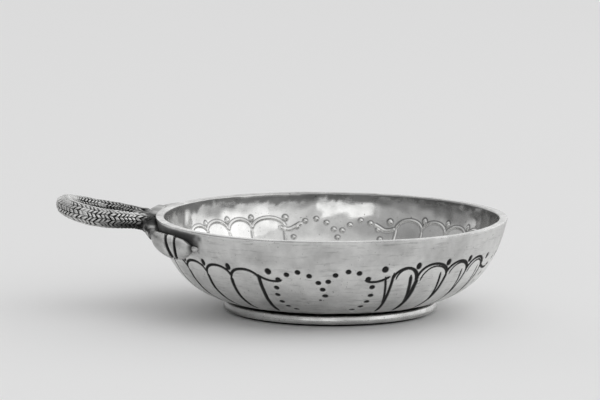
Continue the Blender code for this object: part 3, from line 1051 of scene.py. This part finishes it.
def ramp(tree, value, low, high, easing="LINEAR"):
    node = tree.nodes.new("ShaderNodeMapRange")
    node.interpolation_type = easing
    set_inputs(node, {"From Min": low[0], "From Max": high[0], "To Min": low[1], "To Max": high[1]})
    tree.links.new(value, node.inputs["Value"])
    return node.outputs["Result"]


def maths(tree, operation, *values):
    node = tree.nodes.new("ShaderNodeMath")
    node.operation = operation
    for value, socket in zip(values, node.inputs):
        put(tree, value, socket)
    return node.outputs["Value"]


def mixed(tree, amount, first, second):
    node = tree.nodes.new("ShaderNodeMix")
    node.data_type = "RGBA"
    tree.links.new(amount, node.inputs["Factor"])
    put(tree, first, node.inputs["A"])
    put(tree, second, node.inputs["B"])
    return node.outputs["Result"]


def noise(tree, vector, scale, detail, roughness):
    node = tree.nodes.new("ShaderNodeTexNoise")
    set_inputs(node, {"Scale": scale, "Detail": detail, "Roughness": roughness})
    tree.links.new(vector, node.inputs["Vector"])
    return node.outputs["Fac"]


def stretched(tree, vector, scale):
    node = tree.nodes.new("ShaderNodeMapping")
    node.inputs["Scale"].default_value = scale
    tree.links.new(vector, node.inputs["Vector"])
    return node.outputs["Vector"]


def attribute(tree, name):
    node = tree.nodes.new("ShaderNodeAttribute")
    node.attribute_name = name
    return node.outputs["Fac"]


def silver(name, colour, oxide_and_shade, roughness, scratch):
    """Worn silver with oxide in the recesses and painted shade where the groove attribute asks for it,
    cloudy tarnish, specks, level scuffs and fine scratches.
    Where the mesh says it is inside the bowl, it is polished smoother."""
    made = bpy.data.materials.new(name)
    made.use_nodes = True
    tree = made.node_tree
    shader = tree.nodes["Principled BSDF"]
    shader.inputs["Metallic"].default_value = METALLIC
    where = tree.nodes.new("ShaderNodeTexCoord").outputs["Object"]
    groove = attribute(tree, "groove")
    polish = attribute(tree, "inside")
    dark = oxide_and_shade + (1.0,)
    shaded = tuple(CLOUD_SHADE * part for part in colour) + (1.0,)
    polished = tuple(POLISHED_SHADE * part for part in colour) + (1.0,)

    clouds = ramp(tree, noise(tree, where, *CLOUD_NOISE), *CLOUD_RAMP)
    surface = mixed(tree, clouds, mixed(tree, polish, colour + (1.0,), polished), shaded)
    specks = ramp(tree, noise(tree, where, *SPECK_NOISE), *SPECK_RAMP)
    surface = mixed(tree, specks, surface, dark)
    scuffs = ramp(tree, noise(tree, stretched(tree, where, SCUFF_STRETCH), *SCUFF_NOISE), *SCUFF_RAMP)
    scuffs = maths(tree, "MULTIPLY_ADD", polish, SCUFF_POLISHED, scuffs)
    surface = mixed(tree, scuffs, surface, dark)
    # Oxide and painted shade from the groove attribute.
    tree.links.new(mixed(tree, groove, surface, dark), shader.inputs["Base Color"])

    wear_ramp = [(place, roughness + more) for place, more in WEAR_ENDS]
    wear = ramp(tree, noise(tree, where, *WEAR_NOISE), *wear_ramp)
    wear = maths(tree, "MULTIPLY_ADD", polish, WEAR_POLISHED * roughness, wear)
    wear = maths(tree, "MULTIPLY_ADD", groove, WEAR_OXIDE, wear)
    tree.links.new(wear, shader.inputs["Roughness"])

    bump = tree.nodes.new("ShaderNodeBump")
    set_inputs(bump, {"Strength": scratch, "Distance": SCRATCH_DEPTH})
    scratches = noise(tree, stretched(tree, where, SCRATCH_STRETCH), *SCRATCH_NOISE)
    tree.links.new(scratches, bump.inputs["Height"])
    tree.links.new(bump.outputs["Normal"], shader.inputs["Normal"])
    return made


def paper():
    made = bpy.data.materials.new("paper")
    made.use_nodes = True
    shader = made.node_tree.nodes["Principled BSDF"]
    set_inputs(shader, {"Base Color": PAPER, "Roughness": PAPER_ROUGHNESS, "Specular IOR Level": 0.0})
    return made


def make_floor():
    size = FLOOR_HALF_SIZE
    corners = [(-size, -size, 0), (size, -size, 0), (size, size, 0), (-size, size, 0)]
    mesh = bpy.data.meshes.new("floor")
    mesh.from_pydata(corners, [], [(0, 1, 2, 3)])
    floor = bpy.data.objects.new("floor", mesh)
    mesh.materials.append(paper())
    bpy.context.scene.collection.objects.link(floor)


def add_lamp(name, bearing, size, power, roll):
    """A soft lamp that faces the cup."""
    right, height = (math.radians(angle) for angle in bearing)
    level = LAMP_DISTANCE * math.cos(height)
    place = (level * math.sin(right), -level * math.cos(right), LAMP_DISTANCE * math.sin(height))
    data = bpy.data.lights.new(name, "AREA")
    data.shape = "RECTANGLE"
    data.size, data.size_y = size
    data.energy = power
    lamp = bpy.data.objects.new(name, data)
    facing = (-Vector(place)).to_track_quat("-Z", "Y").to_matrix().to_4x4()
    lamp.matrix_world = Matrix.Translation(place) @ facing @ Matrix.Rotation(math.radians(roll), 4, "Z")
    bpy.context.scene.collection.objects.link(lamp)


def make_light():
    """A soft studio that is brighter above, behind and to the right, with two lamps."""
    world = bpy.data.worlds.new("studio")
    bpy.context.scene.world = world
    world.use_nodes = True
    tree = world.node_tree
    sky = tree.nodes["Background"]
    sky.inputs["Color"].default_value = (1, 1, 1, 1)
    where = tree.nodes.new("ShaderNodeTexCoord")
    split = tree.nodes.new("ShaderNodeSeparateXYZ")
    tree.links.new(where.outputs["Generated"], split.inputs["Vector"])

    def by_direction(axis, low, high):
        return ramp(tree, split.outputs[axis], low, high, "SMOOTHSTEP")

    upper = maths(tree, "MULTIPLY", *[by_direction(*row) for row in SKY_UPPER])
    upper = maths(tree, "ADD", upper, by_direction(*SKY_TOP))
    behind = maths(tree, "MULTIPLY", *[by_direction(*row) for row in SKY_BEHIND])
    tree.links.new(maths(tree, "ADD", upper, behind), sky.inputs["Strength"])
    for row in LAMPS:
        add_lamp(*row)


def make_camera():
    data = bpy.data.cameras.new("camera")
    data.lens = CAMERA_LENS
    data.sensor_width = SENSOR_WIDTH
    data.sensor_fit = "HORIZONTAL"
    data.clip_start = CLIP_START
    camera = bpy.data.objects.new("camera", data)
    middle = Vector((AXIS_X, 0, AIM_HEIGHT)) * MM
    level = math.cos(CAMERA_ELEVATION)
    sine = math.sin(CAMERA_AZIMUTH)
    cosine = math.cos(CAMERA_AZIMUTH)
    back = Vector((sine * level, -cosine * level, math.sin(CAMERA_ELEVATION)))
    right = Vector((cosine, sine, 0))
    upward = back.cross(right)
    aim = middle + (right * CAMERA_AIM[0] + upward * CAMERA_AIM[1]) * MM
    camera.location = middle + back * CAMERA_DISTANCE * MM
    look = (aim - camera.location).to_track_quat("-Z", "Y").to_matrix().to_4x4()
    camera.matrix_world = Matrix.Translation(camera.location) @ look @ Matrix.Rotation(CAMERA_ROLL, 4, "Z")
    bpy.context.scene.collection.objects.link(camera)
    bpy.context.scene.camera = camera


def build():
    make_bowl(silver("bowl_silver", *BOWL_SILVER))
    make_foot(silver("foot_silver", *FOOT_SILVER))
    make_rod(silver("rod_silver", *ROD_SILVER))
    bud_silver = silver("bud_silver", *BUD_SILVER)
    make_bud("front_bud_cast", "front_bud", -1, BUD_FRONT_DROPS, bud_silver)
    make_bud("back_bud_cast", "back_bud", 1, BUD_BACK_DROPS, bud_silver)
    make_floor()
    make_light()
    make_camera()
    bpy.context.scene.view_settings.view_transform = "Standard"


build()
